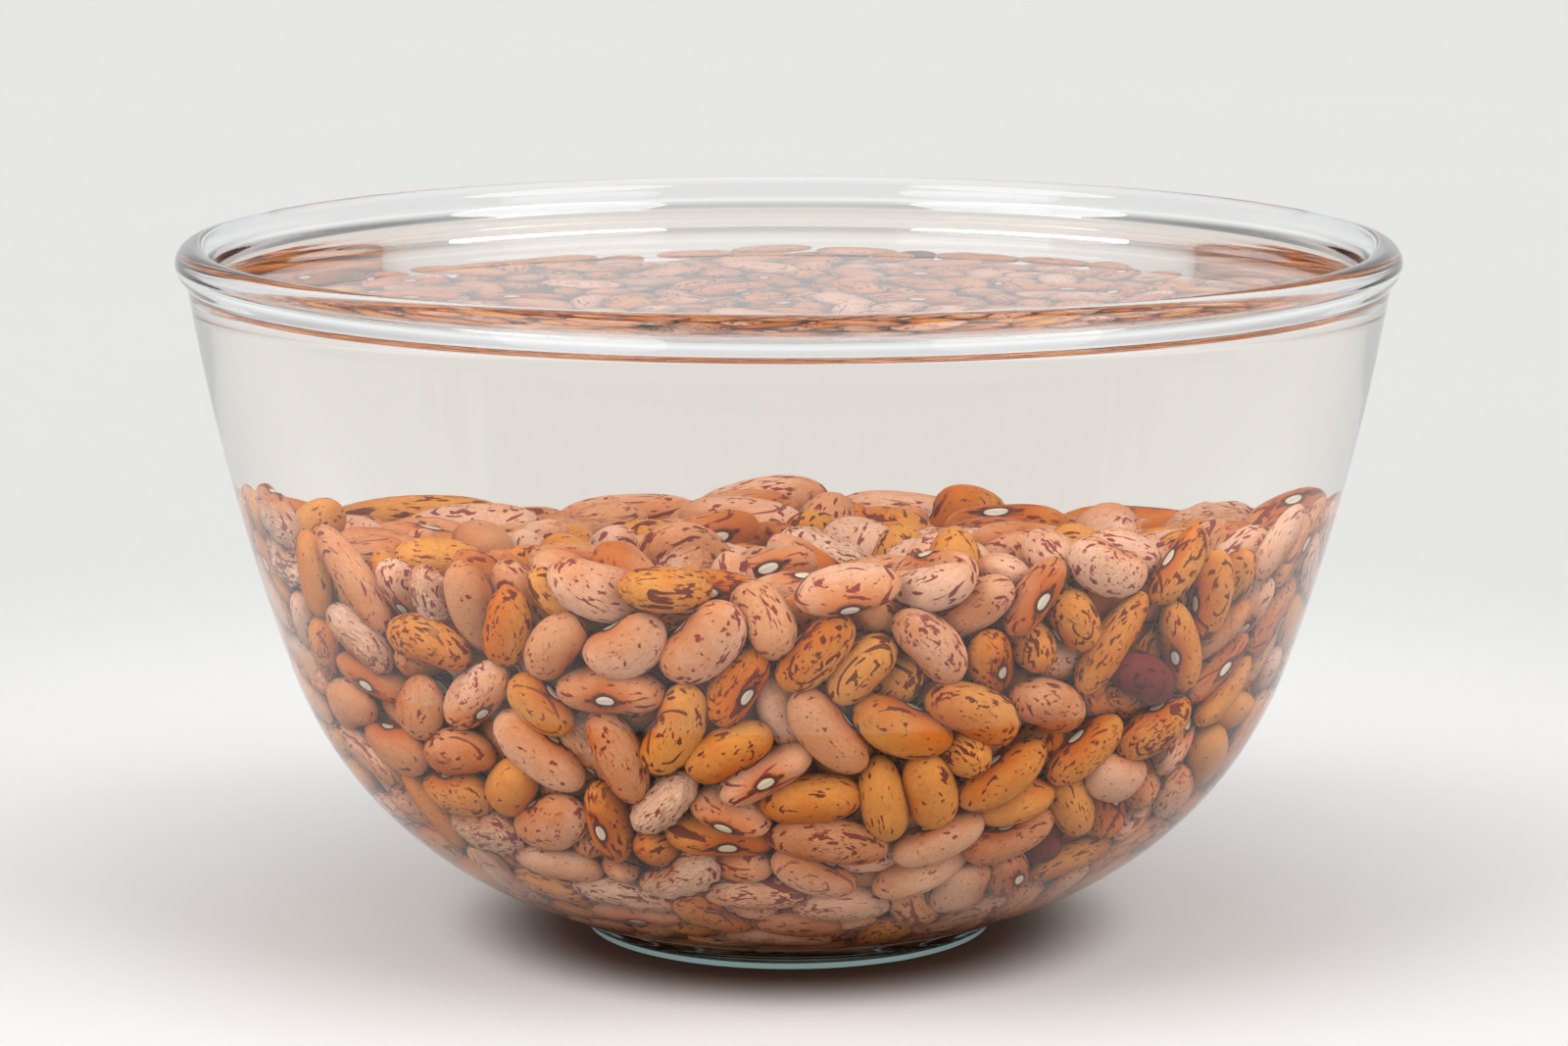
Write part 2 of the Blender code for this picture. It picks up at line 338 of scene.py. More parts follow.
def close_pairs(points, reach):
    """Index pairs of points in the same or touching cells of a grid of size reach."""
    cell = np.floor((points - points.min(0)) / reach).astype(np.int64) + 1
    span = cell.max(0) + 2
    key = (cell[:, 0] * span[1] + cell[:, 1]) * span[2] + cell[:, 2]
    order = np.argsort(key, kind="stable")
    key = key[order]
    index = np.arange(len(points))
    firsts, seconds = [], []
    for dx in (0, 1):
        for dy in ((-1, 0, 1) if dx else (0, 1)):
            for dz in ((-1, 0, 1) if dx or dy else (0, 1)):
                shift = (dx * span[1] + dy) * span[2] + dz
                low = np.searchsorted(key, key + shift, "left") if shift else index + 1
                count = np.searchsorted(key, key + shift, "right") - low
                first = np.repeat(index, count)
                start = np.repeat(np.cumsum(count) - count, count)
                firsts.append(first)
                seconds.append(np.repeat(low, count) + np.arange(len(first)) - start)
    return order[np.concatenate(firsts)], order[np.concatenate(seconds)]


def ball_offsets(size):
    """Centres of the balls that stand for each bean, in the bean's own axes."""
    radius = 0.5 * size[:, 2]
    end = 0.5 * size[:, 0] - radius
    side = 0.5 * size[:, 1] - radius
    none = 0.0 * radius
    places = ((-1.0, -0.35), (1.0, -0.35), (-0.45, 1.0), (0.45, 1.0), (0.0, -0.7))
    return np.stack([np.stack([a * end, b * side, none], -1) for a, b in places], 1)


def random_turns(draw, count):
    """Random rotation matrices, from unit quaternions."""
    q = draw.normal(size=(count, 4))
    w, x, y, z = (q / np.linalg.norm(q, axis=1)[:, None]).T
    return np.stack([
        np.stack([1 - 2 * (y * y + z * z), 2 * (x * y - z * w), 2 * (x * z + y * w)], -1),
        np.stack([2 * (x * y + z * w), 1 - 2 * (x * x + z * z), 2 * (y * z - x * w)], -1),
        np.stack([2 * (x * z - y * w), 2 * (y * z + x * w), 1 - 2 * (x * x + y * y)], -1)], 1)


def start_places(draw, count):
    """Random places in the shell between the glass, the heap's top and the core."""
    found = np.empty((0, 3))
    low = [-START_REACH, -START_REACH, FLOOR_LEVEL]
    high = [START_REACH, START_REACH, START_REACH]
    while len(found) < count:
        trial = draw.uniform(low, high, (4000, 3))
        depth, _ = wall_depth(trial)
        under = heap_top(trial[:, 0], trial[:, 1]) + START_RISE - trial[:, 2]
        in_shell = (depth < SHELL) | (under < SHELL)
        good = (depth > START_CLEAR) & (under > START_UNDER) & in_shell
        found = np.vstack([found, trial[good]])
    return found[:count]


def lay_along_glass(draw, centre, turn):
    """Turn the beans next to the glass along it, half of them flat and half rolled freely."""
    depth, out = wall_depth(centre)
    for i in np.nonzero(depth < LAID_DEPTH)[0]:
        level = np.cross(out[i], (0.0, 0.0, 1.0))
        level /= max(np.linalg.norm(level), 1e-9)
        lean = draw.normal(0.0, LEAN_SPREAD)
        along = math.cos(lean) * level + math.sin(lean) * np.cross(out[i], level)
        flat_roll = draw.normal(0.0, ROLL_SPREAD) + math.pi * (draw.random() < 0.5)
        roll = draw.uniform(-math.pi, math.pi) if draw.random() < 0.5 else flat_roll
        across = math.cos(roll) * np.cross(out[i], along) + math.sin(roll) * out[i]
        turn[i] = np.column_stack([along, across, np.cross(along, across)])


def part_balls(balls, radius, first, second):
    """Push overlapping balls apart, each by the mean of what its neighbours ask."""
    away = balls[second] - balls[first]
    gap = np.maximum(np.linalg.norm(away, axis=1), 1e-7)
    lap = radius[first] + radius[second] - gap
    hit = lap > 0.0
    low, high = first[hit], second[hit]
    push = away[hit] * (0.5 * lap[hit] / gap[hit])[:, None]
    total = len(balls)
    number = np.bincount(low, minlength=total) + np.bincount(high, minlength=total)
    shift = np.column_stack([
        np.bincount(high, push[:, k], total) - np.bincount(low, push[:, k], total)
        for k in range(3)])
    return balls + OVER_PUSH * shift / np.maximum(number, 1)[:, None]


def hold_balls(balls, radius, lid_play):
    """Keep the balls inside the glass, under the heap's top and out of the core."""
    depth, out = wall_depth(balls)
    balls = balls - out * np.maximum(radius + GLASS_CLEAR - depth, 0.0)[:, None]
    top = heap_top(balls[:, 0], balls[:, 1]) + lid_play
    balls[:, 2] -= LID_PUSH * np.maximum(balls[:, 2] + radius - top, 0.0)
    from_side = depth - SHELL
    from_top = top - balls[:, 2] - SHELL
    inside = np.maximum(np.minimum(from_side, from_top), 0.0)
    sideways = from_side < from_top
    balls += CORE_PUSH * np.where(sideways, inside, 0.0)[:, None] * out
    balls[:, 2] += CORE_PUSH * np.where(sideways, 0.0, inside)
    return balls


def fit_beans(balls, offsets, turn):
    """The place and turn of each bean that best fit where its balls have gone."""
    cloud = balls.reshape(-1, BALLS, 3)
    mean = offsets.mean(1)
    spread = np.einsum("nki,nkj->nij", cloud - cloud.mean(1, keepdims=True),
                       offsets - mean[:, None])
    u, _, vt = np.linalg.svd(spread + 1e-7 * turn)
    u[:, :, 2] *= np.linalg.det(u @ vt)[:, None]
    turn = u @ vt
    return cloud.mean(1) - np.einsum("nij,nj->ni", turn, mean), turn


def settle_beans():
    """Grow random beans to full size between glass and core while they sink and part."""
    draw = np.random.default_rng(SEED)
    size = draw.normal(BEAN_SIZE, BEAN_SPREAD, (BEAN_COUNT, 3))
    centre = start_places(draw, BEAN_COUNT)
    turn = random_turns(draw, BEAN_COUNT)
    lay_along_glass(draw, centre, turn)
    lid_play = np.repeat(draw.normal(0.0, LID_PLAY, BEAN_COUNT), BALLS)
    full = ball_offsets(size)
    owner = np.repeat(np.arange(BEAN_COUNT), BALLS)
    drift = np.zeros_like(centre)
    steps = SETTLE_STEPS
    for step in range(steps):
        grown = min(1.0, START_SIZE + (1.0 - START_SIZE) * step / (GROWING_SHARE * steps))
        offsets = full * grown
        radius = np.repeat(0.5 * size[:, 2] * grown, BALLS)
        before = centre
        move = KEPT_DRIFT * drift - (0.0, 0.0, SINK)
        centre = centre + np.clip(move, -LONGEST_MOVE, LONGEST_MOVE)
        balls = (centre[:, None] + np.einsum("nij,nkj->nki", turn, offsets)).reshape(-1, 3)
        if step % 4 == 0:
            first, second = close_pairs(balls, 2.0 * radius.max() + PAIR_REACH)
            gap = np.linalg.norm(balls[first] - balls[second], axis=1)
            near = gap < radius[first] + radius[second] + NEAR_GAP
            near &= owner[first] != owner[second]
            first, second = first[near], second[near]
        for _ in range(SWEEPS):
            balls = part_balls(balls, radius, first, second)
            balls = hold_balls(balls, radius, lid_play)
            centre, turn = fit_beans(balls, offsets, turn)
            balls = (centre[:, None] + np.einsum("nij,nkj->nki", turn, offsets)).reshape(-1, 3)
        drift = centre - before
    return centre, turn, size, draw


# Bean shapes

def bean_grid(sides, rings):
    """Angles of a bean's points and its faces: poles at the two ends of the long axis."""
    polar = np.pi * np.arange(1, rings) / rings
    around = 2.0 * np.pi * np.arange(sides) / sides
    polar_all = np.concatenate([np.repeat(polar, sides), [0.0, np.pi]])
    around_all = np.concatenate([np.tile(around, rings - 1), [0.0, 0.0]])
    here = np.arange(sides)
    after = (here + 1) % sides
    faces = []
    for row in range(rings - 2):
        a, b = row * sides + here, row * sides + after
        faces.append(np.column_stack([a, a + sides, b + sides]))
        faces.append(np.column_stack([a, b + sides, b]))
    first, last = (rings - 1) * sides, (rings - 1) * sides + 1
    base = (rings - 2) * sides
    faces.append(np.column_stack([np.full(sides, first), here, after]))
    faces.append(np.column_stack([np.full(sides, last), base + after, base + here]))
    return polar_all, around_all, np.vstack(faces)


def bean_points(size, form, polar, around, wrinkle):
    """Points of each bean in its own axes: long axis X, width Y, thickness Z.

    The eye is at the middle of the hollow side, which faces -Y.
    """
    bend, blunt, skew, flat = (form[:, k:k + 1] for k in range(4))
    cosine, sine = np.cos(polar)[None], np.sin(polar)[None]
    along = np.sign(cosine) * np.abs(cosine) ** blunt
    girth = np.abs(sine) ** (0.62 + 0.38 * blunt)
    taper = 1.0 + skew * along
    across = girth * np.cos(around)[None] * taper
    up = girth * np.sin(around)[None] * taper
    middle = np.exp(-(along / 0.42) ** 2)
    across = np.where(across < 0.0, across * (1.0 - flat * middle), across)
    ripple = wrinkle * np.sin(16.0 * along + 3.0 * np.sin(2.0 * around + 9.0 * skew * along)
                              + 40.0 * skew) * girth
    swell = 1.0 + ripple + 0.6 * wrinkle * np.sin(5.0 * around + 7.0 * along)
    x = 0.5 * size[:, :1] * along
    y = 0.5 * size[:, 1:2] * across * swell + bend * (0.55 - along ** 2)
    z = 0.5 * size[:, 2:] * up * swell
    return np.stack([x, y, z], -1)


def bean_object(name, centre, turn, size, form, mix, grid, wrinkle, material):
    """One mesh of many beans, with each point's place on its bean and the bean's draws."""
    polar, around, faces = grid
    local = bean_points(size, form, polar, around, wrinkle)
    world = centre[:, None] + np.einsum("nij,nkj->nki", turn, local)
    count, each = local.shape[:2]
    every = (faces[None] + each * np.arange(count)[:, None, None]).reshape(-1, 3)
    mesh = bpy.data.meshes.new(name)
    mesh.vertices.add(count * each)
    mesh.vertices.foreach_set("co", world.astype(np.float32).ravel())
    mesh.loops.add(len(every) * 3)
    mesh.loops.foreach_set("vertex_index", every.astype(np.int32).ravel())
    mesh.polygons.add(len(every))
    mesh.polygons.foreach_set("loop_start", np.arange(0, 3 * len(every), 3, dtype=np.int32))
    mesh.update(calc_edges=True)
    mesh.shade_smooth()
    for label, values in (("bean_at", 1000.0 * local), ("bean_mix", np.repeat(mix, each, 0))):
        store = mesh.attributes.new(label, "FLOAT_VECTOR", "POINT")
        store.data.foreach_set("vector", values.astype(np.float32).ravel())
    mesh.materials.append(material)
    item = bpy.data.objects.new(name, mesh)
    bpy.context.scene.collection.objects.link(item)
    return item


# Materials

class Nodes:
    """Short ways to add and join shader nodes in one material."""

    def __init__(self, name):
        self.material = bpy.data.materials.new(name)
        self.material.use_nodes = True
        self.tree = self.material.node_tree
        self.shader = self.tree.nodes["Principled BSDF"]

    def put(self, socket, value):
        if isinstance(value, bpy.types.NodeSocket):
            self.tree.links.new(value, socket)
        else:
            socket.default_value = value

    def math(self, operation, *values, clamp=False):
        node = self.tree.nodes.new("ShaderNodeMath")
        node.operation = operation
        node.use_clamp = clamp
        for socket, value in zip(node.inputs, values):
            self.put(socket, value)
        return node.outputs[0]

    def vector(self, operation, *values):
        node = self.tree.nodes.new("ShaderNodeVectorMath")
        node.operation = operation
        for socket, value in zip(node.inputs, values):
            self.put(socket, value)
        return node.outputs["Value" if operation == "LENGTH" else "Vector"]

    def attribute(self, name):
        node = self.tree.nodes.new("ShaderNodeAttribute")
        node.attribute_name = name
        return node.outputs["Vector"]

    def split(self, vector):
        node = self.tree.nodes.new("ShaderNodeSeparateXYZ")
        self.put(node.inputs[0], vector)
        return node.outputs

    def noise(self, vector, scale, detail=2.0, roughness=0.5, distortion=0.0):
        node = self.tree.nodes.new("ShaderNodeTexNoise")
        self.put(node.inputs["Vector"], vector)
        node.inputs["Scale"].default_value = scale
        node.inputs["Detail"].default_value = detail
        node.inputs["Roughness"].default_value = roughness
        node.inputs["Distortion"].default_value = distortion
        return node.outputs["Fac"]

    def ramp(self, value, low, high, start=0.0, end=1.0):
        """Smooth step from start to end as value goes from low to high."""
        node = self.tree.nodes.new("ShaderNodeMapRange")
        node.interpolation_type = "SMOOTHSTEP"
        for socket, entry in zip(node.inputs, (value, low, high, start, end)):
            self.put(socket, entry)
        return node.outputs[0]

    def mix(self, share, first, second):
        node = self.tree.nodes.new("ShaderNodeMix")
        node.data_type = "RGBA"
        self.put(node.inputs["Factor"], share)
        self.put(node.inputs["A"], first)
        self.put(node.inputs["B"], second)
        return node.outputs["Result"]

    def bump(self, height, distance, strength=1.0):
        node = self.tree.nodes.new("ShaderNodeBump")
        node.inputs["Strength"].default_value = strength
        node.inputs["Distance"].default_value = distance
        self.put(node.inputs["Height"], height)
        self.put(self.shader.inputs["Normal"], node.outputs[0])

    def end(self, **values):
        for name, value in values.items():
            self.put(self.shader.inputs[name.replace("_", " ")], value)
        return self.material


def clear_material(name, ior, first, second, gloss, shadow, edge=None):
    """Clear stuff that lamps shine through, with its tint and strength of reflection.

    The tint goes over to edge, where one is given, as the surface is seen at a slant.
    """
    made = Nodes(name)
    nodes = made.tree.nodes
    spot = nodes.new("ShaderNodeTexCoord").outputs["Object"]
    tint = made.mix(made.noise(spot, 12.0), (*first, 1.0), (*second, 1.0))
    if edge:
        slant = nodes.new("ShaderNodeLayerWeight")
        slant.inputs["Blend"].default_value = 0.5
        tint = made.mix(made.ramp(slant.outputs["Facing"], 0.55, 0.98), tint, (*edge, 1.0))
    made.end(Base_Color=tint, Roughness=0.0, IOR=ior, Transmission_Weight=1.0,
             Specular_Tint=(gloss, gloss, gloss, 1.0))
    light_path = nodes.new("ShaderNodeLightPath")
    through = nodes.new("ShaderNodeBsdfTransparent")
    through.inputs["Color"].default_value = (*shadow, 1.0)
    blend = nodes.new("ShaderNodeMixShader")
    made.put(blend.inputs[0], light_path.outputs["Is Shadow Ray"])
    made.put(blend.inputs[1], made.shader.outputs[0])
    made.put(blend.inputs[2], through.outputs[0])
    made.put(nodes["Material Output"].inputs["Surface"], blend.outputs[0])
    return made.material


def glass_material(name, gloss, tint=GLASS_TINT, edge=None):
    uneven = tuple(GLASS_UNEVEN * part for part in tint)
    return clear_material(name, GLASS_IOR, tint, uneven, gloss, GLASS_SHADOW, edge)


def water_material(name, gloss, shadow):
    return clear_material(name, WATER_IOR, WATER_TINT, WATER_TINT_DEEP, gloss, shadow)


def bean_material(name, pale, deep, fleck, halo, speckle, crease=0.25):
    """Skin of one kind of bean, set by its place on the bean and the bean's own draws.

    The eye sits at the middle of the -Y side, where the skin is also deeper in colour.
    The flecks and arcs run along the outline of the bean's broad faces.
    """
    made = Nodes(name)
    at = made.attribute("bean_at")
    own = made.attribute("bean_mix")
    x, y, z = made.split(at)
    tone, speckled, streaked = made.split(own)
    moved = made.vector("MULTIPLY", own, (310.0, 170.0, 230.0))
    even = made.vector("ADD", at, moved)

    def above(value, edge, soft):
        return made.ramp(made.math("SUBTRACT", value, edge), 0.0, soft)

    def less(value, share):
        return made.math("MULTIPLY", value, share)

    # Place on the broad face as a distance from its middle and an angle about it
    out = made.vector("LENGTH", made.vector("MULTIPLY", at, (0.109, 0.190, 0.0)))
    about = made.math("ARCTAN2", less(y, 0.190), less(x, 0.109))
    ways = made.tree.nodes.new("ShaderNodeCombineXYZ")
    for socket, value in zip(ways.inputs, (less(about, 2.6), less(out, 6.0), less(z, 1.1))):
        made.put(socket, value)
    grain = made.vector("ADD", ways.outputs[0], moved)

    # Skin, deeper towards the eye side, with a soft mottle and fine pores
    patches = made.noise(even, 0.15, 3.0, 0.6)
    cast = made.math("ADD", less(y, -0.105), less(made.math("SUBTRACT", patches, 0.5), 2.2))
    cast = made.math("ADD", cast, less(tone, 0.8), clamp=True)
    skin = made.mix(cast, pale, deep)
    mottle = made.noise(even, 1.9, 4.0, 0.7)
    skin = made.mix(made.ramp(mottle, 0.42, 0.70, 0.0, 0.38), skin, halo)
    pores = made.noise(even, 6.0, 2.0, 0.6)
    skin = made.mix(made.ramp(pores, 0.35, 0.70, 0.0, 0.14), skin, fleck)

    # Dark flecks in clusters, longer dashes, and arcs along the outline
    clusters = made.ramp(made.noise(even, 0.19, 1.0), 0.30, 0.52)
    nearer_edge = less(made.math("SUBTRACT", out, 0.65), 0.07)
    dots = made.math("ADD", made.noise(grain, 1.15, 2.0, 0.5, 0.2), nearer_edge)
    edge = made.math("SUBTRACT", 0.700, less(speckled, speckle))
    flecks = made.math("MULTIPLY", clusters, above(dots, edge, 0.014))
    dash_edge = made.math("SUBTRACT", 0.715, less(streaked, speckle))
    dashes = above(made.noise(grain, 0.52, 2.0, 0.5, 0.4), dash_edge, 0.012)
    swirl = made.math("ADD", less(out, 13.0), less(made.noise(even, 0.13, 1.0), 6.0))
    swirl = made.math("SINE", made.math("ADD", swirl, less(tone, 40.0)))
    broken = made.math("MULTIPLY", made.ramp(made.noise(grain, 0.30, 2.0), 0.50, 0.54),
                       made.ramp(streaked, 0.50, 0.65))
    arcs = made.math("MULTIPLY", broken, above(swirl, 0.87, 0.04))
    marks = made.math("MAXIMUM", made.math("MAXIMUM", flecks, dashes), arcs)
    wider_edge = made.math("SUBTRACT", edge, 0.07)
    near_marks = made.math("MULTIPLY", clusters, above(dots, wider_edge, 0.09))
    skin = made.mix(less(near_marks, 0.35), skin, halo)

    def oval(centre, across, thick):
        part = made.math("DIVIDE", made.math("SUBTRACT", made.math("ABSOLUTE", x), centre), across)
        other = made.math("DIVIDE", z, thick)
        return made.math("SQRT", made.math("ADD", made.math("POWER", part, 2.0),
                                           made.math("POWER", other, 2.0)))

    # White eye with its slit and dark ring, two dark spots beside it and a warm glow
    eye_side = made.ramp(y, -2.2, -1.2, 1.0, 0.0)
    eye = oval(0.0, 1.75, 0.92)
    glow = made.math("MULTIPLY", eye_side, made.ramp(eye, 1.3, 4.4, 0.85, 0.0))
    skin = made.mix(glow, skin, halo)
    skin = made.mix(less(marks, 0.90), skin, fleck)
    ring = made.math("MULTIPLY", eye_side, made.ramp(eye, 1.25, 1.95, 0.90, 0.0))
    spots = made.math("MULTIPLY", eye_side, made.ramp(oval(3.0, 1.0, 0.5), 0.6, 1.3, 0.85, 0.0))
    skin = made.mix(made.math("MAXIMUM", ring, spots), skin, shade(74, 34, 24))
    white = made.math("MULTIPLY", eye_side, made.ramp(eye, 0.90, 1.04, 1.0, 0.0))
    slit = made.ramp(made.math("ABSOLUTE", z), 0.05, 0.16, 0.40, 0.0)
    skin = made.mix(white, skin, made.mix(slit, shade(222, 211, 194), shade(168, 142, 116)))

    # Relief of the skin: grain, the raised eye, and folds that run along the bean
    folds = made.noise(made.vector("MULTIPLY", even, (0.16, 0.62, 0.62)), 1.0, 2.0, 0.5, 0.8)
    folds = made.math("ABSOLUTE", made.math("SUBTRACT", folds, 0.5))
    relief = made.math("ADD", less(made.noise(even, 1.5, 3.0), 0.35),
                       less(made.math("SUBTRACT", white, ring), 0.8))
    relief = made.math("ADD", relief, less(folds, 8.0 * crease))
    made.bump(relief, 0.00022, 0.6)
    return made.end(Base_Color=skin, Roughness=made.ramp(mottle, 0.3, 0.7, 0.40, 0.55),
                    Specular_IOR_Level=0.06)


def painted_shade_core_material():
    made = Nodes("painted shade deep in the heap")
    spot = made.tree.nodes.new("ShaderNodeTexCoord").outputs["Object"]
    spots = made.noise(spot, 140.0, 2.0)
    # Painted shade: the core is as dark as the heap's inside in shade, not a bean colour
    colour = made.mix(spots, shade(44, 30, 24), shade(80, 54, 42))
    return made.end(Base_Color=colour, Roughness=0.8, Specular_IOR_Level=0.1)


# Pieces

def carried(item, slot, *nodes):
    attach(item, "root")
    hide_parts(*nodes)


def make_glass():
    inner = wall_run(0.0, WATER_LEVEL, WALL)
    outer = wall_run(FOOT_TILT, BOWL_HEIGHT - RIM_HALF - BULGE_DROP, 0.0)
    points = [(0.0, inner[0][1])] + inner + rim_points() + outer[::-1] + foot_points()
    item = turned_object("glass_bowl", points, GLASS_STEPS,
                         glass_material("clear glass", DRY_GLOSS, edge=GLASS_EDGE_TINT))
    # The low glass takes a tint of painted warm light
    more = (("clear glass against water", WET_GLOSS, GLASS_TINT),
            ("glass seen along the foot", DRY_GLOSS, FOOT_TINT),
            ("low glass with painted warm light", LOW_GLASS_GLOSS, LOW_GLASS_PAINTED_WARM_LIGHT))
    for name, gloss, tint in more:
        item.data.materials.append(glass_material(name, gloss, tint))
    against_water, along_foot, low_down = 1, 2, 3
    wet = len(inner) * GLASS_STEPS
    for face in item.data.polygons:
        if max(face.vertices) < wet:
            face.material_index = against_water
        elif face.center.z < FOOT_TINT_TOP:
            face.material_index = along_foot
        elif face.center.z < LOW_GLASS_TOP:
            face.material_index = low_down
    carried(item, "clear_glass", "bowl")


def make_water():
    """Water from just inside the glass, with a level top that climbs the glass a little."""
    inset = WALL - INTO_GLASS
    edge = wall_radius(WATER_LEVEL, inset)
    top = []
    for step in range(WATER_TOP_STEPS + 1):
        radius = edge * (1.0 - (1.0 - step / WATER_TOP_STEPS) ** 3)
        rise = MENISCUS_RISE * math.exp(-(edge - radius) / MENISCUS_REACH)
        top.append((radius, WATER_LEVEL - MENISCUS_FOOT + rise))
    side = wall_run(0.0, WATER_LEVEL, inset)[::-1]
    points = top + side[1:] + [(0.0, side[-1][1])]
    item = turned_object("water_body", points, WATER_STEPS,
                         water_material("water top", DRY_GLOSS, WATER_TOP_SHADOW))
    item.data.materials.append(
        water_material("water against glass", WET_GLOSS, WATER_SIDE_SHADOW))
    dry = len(top) * WATER_STEPS
    for face in item.data.polygons:
        if min(face.vertices) >= dry - WATER_STEPS:
            face.material_index = 1
    carried(item, "clear_water", "water")


def make_core():
    """Inside of the heap, painted dark as the shade deep among the beans, a little larger than the
    room that the beans leave.
    """
    inset = WALL + SHELL - CORE_LAP
    level = HEAP_LEVEL - SHELL
    side = wall_run(0.0, level, inset, low_steps=12, high_steps=4)
    edge = side[-1][0]
    top = [(edge * step / CORE_RINGS, level) for step in range(CORE_RINGS)]
    points = top + side[::-1] + [(0.0, side[0][1])]
    item = turned_object("heap_core_painted_shade", points, CORE_STEPS, painted_shade_core_material())
    for vertex in item.data.vertices:
        if abs(vertex.co.z - level) < 1e-6:
            vertex.co.z = heap_top(vertex.co.x, vertex.co.y) - SHELL + CORE_LAP
    carried(item, "bean_skin", "beans")


# Kinds of bean as (name, share of all, wrinkle, colours)
KINDS = (
    ("pink", 0.33, 0.0, dict(pale=shade(236, 190, 162), deep=shade(220, 150, 100),
                             fleck=shade(130, 40, 42), halo=shade(204, 114, 60),
                             speckle=0.13)),
    ("golden", 0.30, 0.0, dict(pale=shade(226, 156, 76), deep=shade(212, 118, 28),
                               fleck=shade(100, 30, 28), halo=shade(186, 84, 20),
                               speckle=0.14)),
    ("tan", 0.245, 0.0, dict(pale=shade(222, 160, 116), deep=shade(202, 114, 50),
                             fleck=shade(118, 38, 34), halo=shade(184, 88, 32),
                             speckle=0.11)),
    ("wrinkled", 0.11, 0.070, dict(pale=shade(240, 200, 174), deep=shade(214, 144, 98),
                                   fleck=shade(136, 44, 46), halo=shade(196, 110, 60),
                                   speckle=0.13, crease=2.6)),
    ("maroon", 0.015, 0.0, dict(pale=shade(128, 48, 42), deep=shade(104, 30, 28),
                                fleck=shade(70, 18, 20), halo=shade(118, 42, 30),
                                speckle=0.13)),
)


def make_beans():
    """Loose beans, in a fine and a plain piece for each kind."""
    centre, turn, size, draw = settle_beans()
    form = np.column_stack([
        draw.uniform(*BEAN_BEND, BEAN_COUNT), draw.uniform(*BEAN_BLUNT, BEAN_COUNT),
        draw.normal(0.0, BEAN_SKEW, BEAN_COUNT), draw.uniform(*BEAN_FLAT, BEAN_COUNT)])
    mix = draw.random((BEAN_COUNT, 3))
    pick = draw.random(BEAN_COUNT)
    depth, _ = wall_depth(centre)
    under = heap_top(centre[:, 0], centre[:, 1]) - centre[:, 2]
    seen = (depth < SEEN_DEPTH) | (under < SEEN_UNDER)
    start = 0.0
    for name, share, wrinkle, colours in KINDS:
        chosen = (pick >= start) & (pick < start + share)
        start += share
        material = bean_material(f"{name} bean skin", **colours)
        grids = ((seen, WRINKLED_GRID if wrinkle else FINE_GRID, "outer"),
                 (~seen, PLAIN_GRID, "inner"))
        for mask, grid, layer in grids:
            some = chosen & mask
            item = bean_object(f"beans_{name}_{layer}", centre[some], turn[some], size[some],
                               form[some], mix[some], bean_grid(*grid), wrinkle, material)
            carried(item, "bean_skin", "beans")


# Studio

def make_floor():
    """Pale paper with painted light: brighter near the bowl, a painted warm bounce light from the
    beans round it and a painted dark shadow round the foot.
    """
    made = Nodes("pale paper floor")
    spot = made.tree.nodes.new("ShaderNodeTexCoord").outputs["Object"]
    away = made.vector("LENGTH", spot)
    # Painted light: the paper is brighter near the bowl and dims farther out
    colour = made.mix(made.ramp(away, 0.16, 0.45), shade(*FLOOR_NEAR_PAINTED_LIGHT), shade(*FLOOR_FAR_PAINTED_FALLOFF))
    mottle = made.ramp(made.noise(spot, 3.0), 0.3, 0.7, 0.0, 0.15)
    colour = made.mix(mottle, colour, shade(*FLOOR_MOTTLE))
    # Painted warm bounce light, as from light coming through the beans round the bowl
    colour = made.mix(made.ramp(away, 0.050, 0.150, 0.22, 0.0), colour, shade(*FLOOR_PAINTED_BOUNCE_LIGHT))
    # Painted shadow: dark brown paper round the foot, where the bowl shades the floor
    colour = made.mix(made.ramp(away, 0.043, 0.072, 0.95, 0.0), colour, shade(*FLOOR_PAINTED_SHADOW))
    made.end(Base_Color=colour, Roughness=0.7, Specular_IOR_Level=0.15)
    mesh = bpy.data.meshes.new("studio_floor")
    corners = [(-FLOOR_HALF, -FLOOR_HALF, 0), (FLOOR_HALF, -FLOOR_HALF, 0),
               (FLOOR_HALF, FLOOR_HALF, 0), (-FLOOR_HALF, FLOOR_HALF, 0)]
    mesh.from_pydata(corners, [], [(0, 1, 2, 3)])
    mesh.materials.append(made.material)
    floor = bpy.data.objects.new("studio_floor", mesh)
    bpy.context.scene.collection.objects.link(floor)
    floor.location.z = -FLOOR_DROP


def soft_sun(name, azimuth, elevation, spread, power):
    """A far softbox: azimuth in degrees from the camera's side, positive to the right."""
    lamp = bpy.data.lights.new(name, "SUN")
    lamp.angle = math.radians(spread)
    lamp.energy = power
    item = bpy.data.objects.new(name, lamp)
    bpy.context.scene.collection.objects.link(item)
    item.rotation_euler = (math.radians(90.0 - elevation), 0.0, math.radians(azimuth))


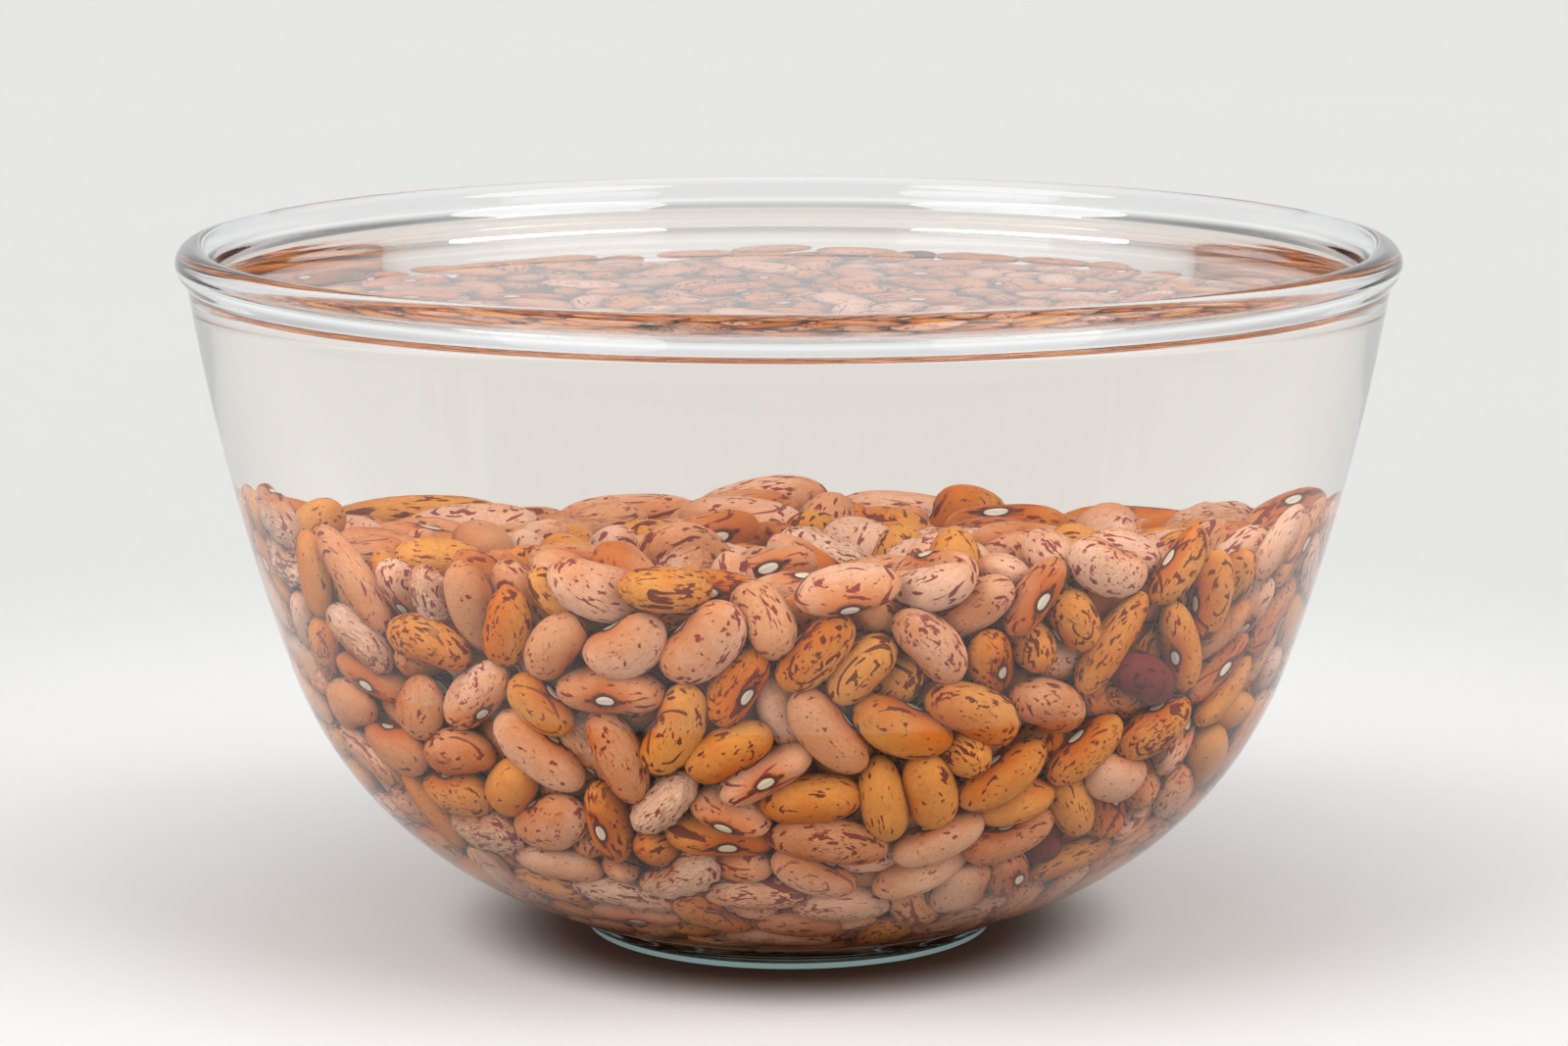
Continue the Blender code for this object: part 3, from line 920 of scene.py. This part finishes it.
def make_world():
    """Room light: a darker room, a pale backdrop behind the bowl and a low glow in it."""
    world = bpy.data.worlds.new("studio")
    world.use_nodes = True
    nodes, links = world.node_tree.nodes, world.node_tree.links
    way = nodes.new("ShaderNodeSeparateXYZ")
    links.new(nodes.new("ShaderNodeTexCoord").outputs["Generated"], way.inputs[0])

    def step(axis, start, end):
        """Smooth step from 0 to 1 as the way along an axis goes from start to end."""
        node = nodes.new("ShaderNodeMapRange")
        node.interpolation_type = "SMOOTHSTEP"
        links.new(way.outputs[axis], node.inputs["Value"])
        node.inputs["From Min"].default_value = start
        node.inputs["From Max"].default_value = end
        return node.outputs[0]

    def blend(first, second, *shares):
        node = nodes.new("ShaderNodeMix")
        node.data_type = "RGBA"
        total = shares[0]
        for share in shares[1:]:
            product = nodes.new("ShaderNodeMath")
            product.operation = "MULTIPLY"
            links.new(total, product.inputs[0])
            links.new(share, product.inputs[1])
            total = product.outputs[0]
        links.new(total, node.inputs["Factor"])
        if isinstance(first, tuple):
            node.inputs["A"].default_value = (*first, 1.0)
        else:
            links.new(first, node.inputs["A"])
        node.inputs["B"].default_value = (*second, 1.0)
        return node.outputs["Result"]

    back, up = 1, 2
    backdrop = blend(ROOM_LIGHT, BACKDROP_LIGHT, step(back, 0.05, 0.50), step(up, 0.50, 0.15))
    glow = blend(backdrop, GLOW_LIGHT, step(back, 0.80, 0.95),
                 step(up, 0.03, 0.09), step(up, 0.19, 0.14))
    links.new(glow, nodes["Background"].inputs["Color"])
    bpy.context.scene.world = world


def make_studio():
    make_floor()
    for softbox in SOFTBOXES:
        soft_sun(*softbox)
    make_world()
    scene = bpy.context.scene
    scene.view_settings.view_transform = "Standard"
    scene.cycles.max_bounces = 14
    scene.cycles.diffuse_bounces = 2
    scene.cycles.glossy_bounces = 5
    scene.cycles.transmission_bounces = 14


def make_camera():
    data = bpy.data.cameras.new("camera")
    data.sensor_width = SENSOR
    data.lens = FOCAL_PIXELS * SENSOR / IMAGE_WIDTH
    data.shift_x = -AXIS_SHIFT_PIXELS / IMAGE_WIDTH
    data.clip_start = 0.01
    camera = bpy.data.objects.new("camera", data)
    bpy.context.scene.collection.objects.link(camera)
    camera.location = CAMERA_PLACE
    camera.rotation_euler = (0.5 * math.pi - CAMERA_PITCH, 0.0, 0.0)
    bpy.context.scene.camera = camera


make_camera()
make_studio()
make_glass()
make_water()
make_core()
make_beans()
